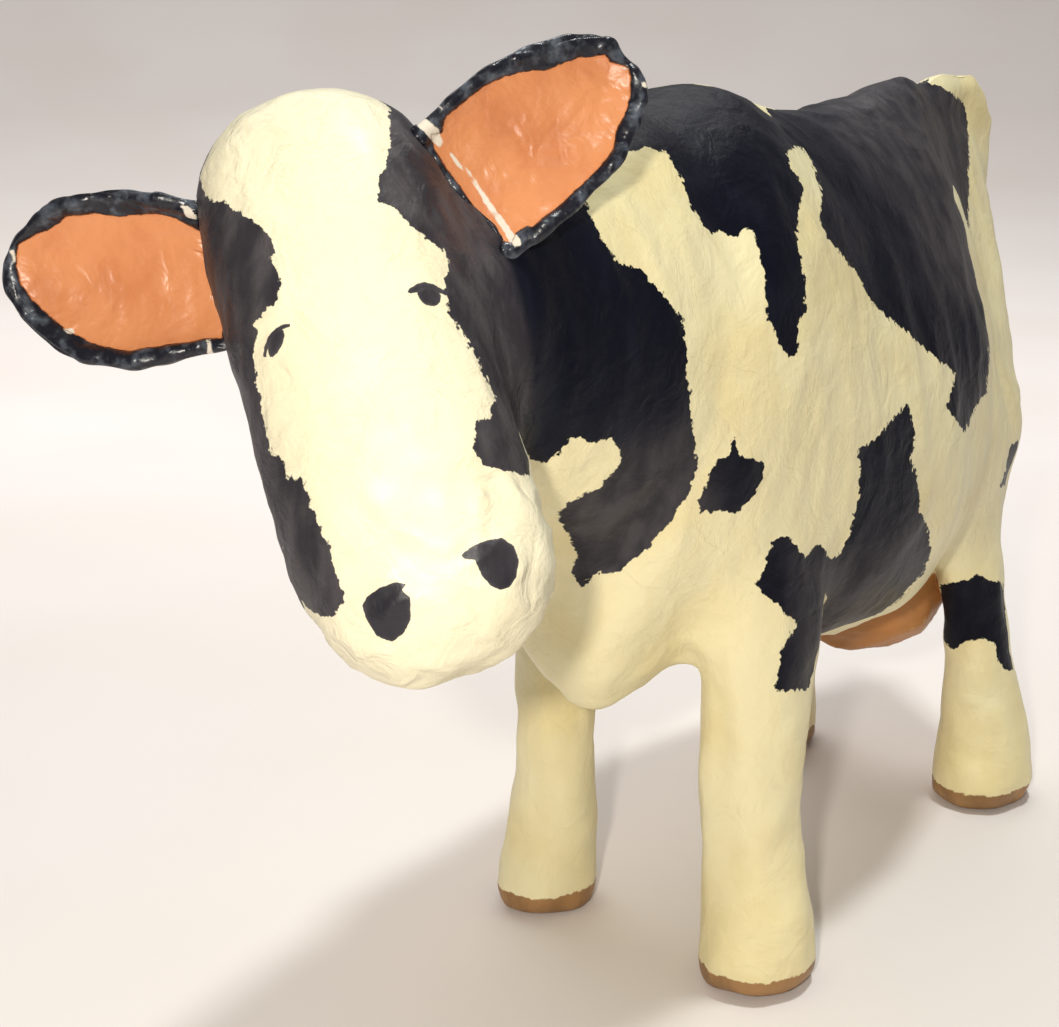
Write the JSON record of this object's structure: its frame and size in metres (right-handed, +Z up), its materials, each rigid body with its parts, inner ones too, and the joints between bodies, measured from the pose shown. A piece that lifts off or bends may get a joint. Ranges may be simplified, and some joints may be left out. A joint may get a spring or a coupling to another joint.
{
  "type": "papier-mache cow",
  "caption": "Standing papier-mache dairy cow with its head cocked to one side, leaf-shaped ears and splayed feet.",
  "frame": {"origin": "on the floor under the middle of the overall box", "axes": "+Z up, the cow faces -Y and its left flank is on +X"},
  "size_m": [0.1818, 0.543, 0.3725],
  "materials": {
    "painted_paper_skin": "pasted paper painted cream with black patches, brown hooves and an orange-brown udder, softly glossy",
    "painted_ear_card": "glossy black rolled rim and back, orange lining, bare white paper along the root"
  },
  "bodies": {
    "root": {"cow_body": "painted_paper_skin", "left_ear": "painted_ear_card", "right_ear": "painted_ear_card"}
  },
  "joints": []
}
